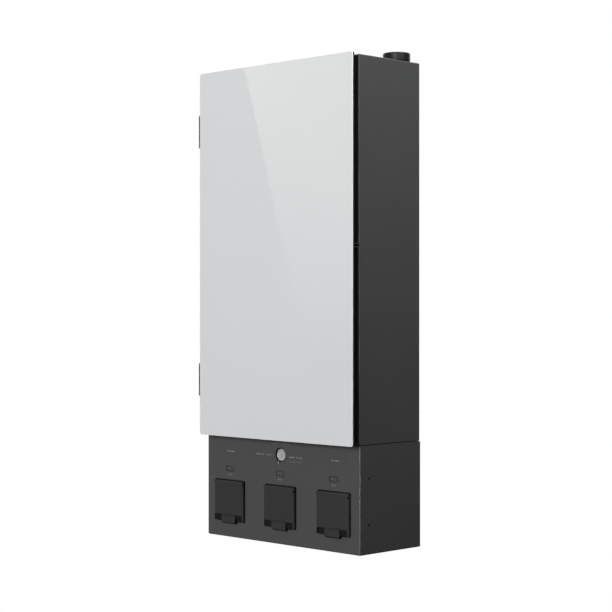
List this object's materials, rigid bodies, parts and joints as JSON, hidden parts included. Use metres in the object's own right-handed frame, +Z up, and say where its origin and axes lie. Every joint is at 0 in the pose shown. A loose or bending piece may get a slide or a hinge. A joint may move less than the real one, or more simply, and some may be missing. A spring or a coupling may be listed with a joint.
{
  "type": "wall energy panel",
  "caption": "Slim wall-mounted home power panel: hinged glass-front cabinet with breakers over a connection box with flip-lid power inlets, selector knob and antenna puck.",
  "frame": {"origin": "middle of the back, on the wall plane, at half the steel body's height", "axes": "+Z up, front of the panel towards -Y, +X to the right seen from the front, +Y into the wall"},
  "size_m": [0.4094, 0.178, 0.8879],
  "materials": {
    "powder_coat": "fine textured dark grey powder coat",
    "black_steel": "satin black paint",
    "door_glass": "gloss glass sheet, pale grey behind",
    "foam_rubber": "matt foam rubber",
    "zinc_steel": "zinc plated",
    "black_plastic": "fine moulded texture",
    "copper": "bare copper",
    "brass": "plated contact brass",
    "flap_plastic": "fine moulded texture",
    "silver": "satin turned aluminium",
    "lens_plastic": "smoked gloss window",
    "circuit_board": "green solder mask"
  },
  "bodies": {
    "cabinet": {"upper_cabinet": "powder_coat", "lower_cover": "powder_coat", "dead_front": "powder_coat", "hinge_upper_cabinet_leaf": "black_steel", "hinge_lower_cabinet_leaf": "black_steel", "lower_chassis": "black_steel", "antenna_gasket": "foam_rubber", "hinge_upper_pin": "zinc_steel", "hinge_lower_pin": "zinc_steel", "backplane": "zinc_steel", "neutral_bar": "zinc_steel", "flap_pin_1": "zinc_steel", "flap_pin_2": "zinc_steel", "flap_pin_3": "zinc_steel", "side_screw_left_lower": "black_steel", "side_screw_left_upper": "black_steel", "side_screw_right_lower": "black_steel", "side_screw_right_upper": "black_steel", "catch_magnet": "black_plastic", "antenna_dome": "black_plastic", "main_breaker": "black_plastic", "transfer_relay": "black_plastic", "inlet_socket_1": "black_plastic", "inlet_socket_2": "black_plastic", "inlet_socket_3": "black_plastic", "knob_bezel": "black_plastic", "rotary_switch": "black_plastic", "branch_breaker_1": "black_plastic", "branch_breaker_2": "black_plastic", "branch_breaker_3": "black_plastic", "branch_breaker_4": "black_plastic", "branch_breaker_5": "black_plastic", "branch_breaker_6": "black_plastic", "busbar_left": "copper", "busbar_right": "copper", "ground_bar": "copper", "inlet_contacts_1": "brass", "inlet_contacts_2": "brass", "inlet_contacts_3": "brass", "indicator_lens_1": "lens_plastic", "indicator_lens_2": "lens_plastic", "indicator_lens_3": "lens_plastic", "control_board": "circuit_board"},
    "door": {"door_panel": "door_glass", "door_tray": "black_steel", "door_seal": "foam_rubber", "hinge_upper_door_leaf": "black_steel", "hinge_lower_door_leaf": "black_steel", "catch_striker": "zinc_steel"},
    "selector": {"selector_knob": "silver"},
    "main_handle": {"main_handle": "black_plastic"},
    "flap_1": {"inlet_flap_1": "flap_plastic"},
    "flap_2": {"inlet_flap_2": "flap_plastic"},
    "flap_3": {"inlet_flap_3": "flap_plastic"},
    "handle_1": {"branch_handle_1": "black_plastic"},
    "handle_2": {"branch_handle_2": "black_plastic"},
    "handle_3": {"branch_handle_3": "black_plastic"},
    "handle_4": {"branch_handle_4": "black_plastic"},
    "handle_5": {"branch_handle_5": "black_plastic"},
    "handle_6": {"branch_handle_6": "black_plastic"}
  },
  "joints": [
    {"name": "door_hinge", "type": "hinge", "parent": "cabinet", "child": "door", "pos_m": [-0.2059, -0.1675, 0], "axis": [0, 0, -1], "range_deg": [0, 150]},
    {"name": "flap_1_hinge", "type": "hinge", "parent": "cabinet", "child": "flap_1", "pos_m": [-0.135, -0.1599, -0.3329], "axis": [-1, 0, 0], "range_deg": [0, 110]},
    {"name": "flap_2_hinge", "type": "hinge", "parent": "cabinet", "child": "flap_2", "pos_m": [0, -0.1599, -0.3329], "axis": [-1, 0, 0], "range_deg": [0, 110]},
    {"name": "flap_3_hinge", "type": "hinge", "parent": "cabinet", "child": "flap_3", "pos_m": [0.135, -0.1599, -0.3329], "axis": [-1, 0, 0], "range_deg": [0, 110]},
    {"name": "selector_turn", "type": "hinge", "parent": "cabinet", "child": "selector", "pos_m": [0, -0.156, -0.2725], "axis": [0, -1, 0], "range_deg": [0, 90]},
    {"name": "main_handle_throw", "type": "hinge", "parent": "cabinet", "child": "main_handle", "pos_m": [0, -0.12, 0.315], "axis": [1, 0, 0], "range_deg": [0, 40]},
    {"name": "branch_handle_1_throw", "type": "hinge", "parent": "cabinet", "child": "handle_1", "pos_m": [-0.032, -0.12, 0.097], "axis": [0, 0, -1], "range_deg": [0, 40]},
    {"name": "branch_handle_2_throw", "type": "hinge", "parent": "cabinet", "child": "handle_2", "pos_m": [0.032, -0.12, 0.097], "axis": [0, 0, 1], "range_deg": [0, 40]},
    {"name": "branch_handle_3_throw", "type": "hinge", "parent": "cabinet", "child": "handle_3", "pos_m": [-0.032, -0.12, 0.151], "axis": [0, 0, -1], "range_deg": [0, 40]},
    {"name": "branch_handle_4_throw", "type": "hinge", "parent": "cabinet", "child": "handle_4", "pos_m": [0.032, -0.12, 0.151], "axis": [0, 0, 1], "range_deg": [0, 40]},
    {"name": "branch_handle_5_throw", "type": "hinge", "parent": "cabinet", "child": "handle_5", "pos_m": [-0.032, -0.12, 0.205], "axis": [0, 0, -1], "range_deg": [0, 40]},
    {"name": "branch_handle_6_throw", "type": "hinge", "parent": "cabinet", "child": "handle_6", "pos_m": [0.032, -0.12, 0.205], "axis": [0, 0, 1], "range_deg": [0, 40]}
  ]
}
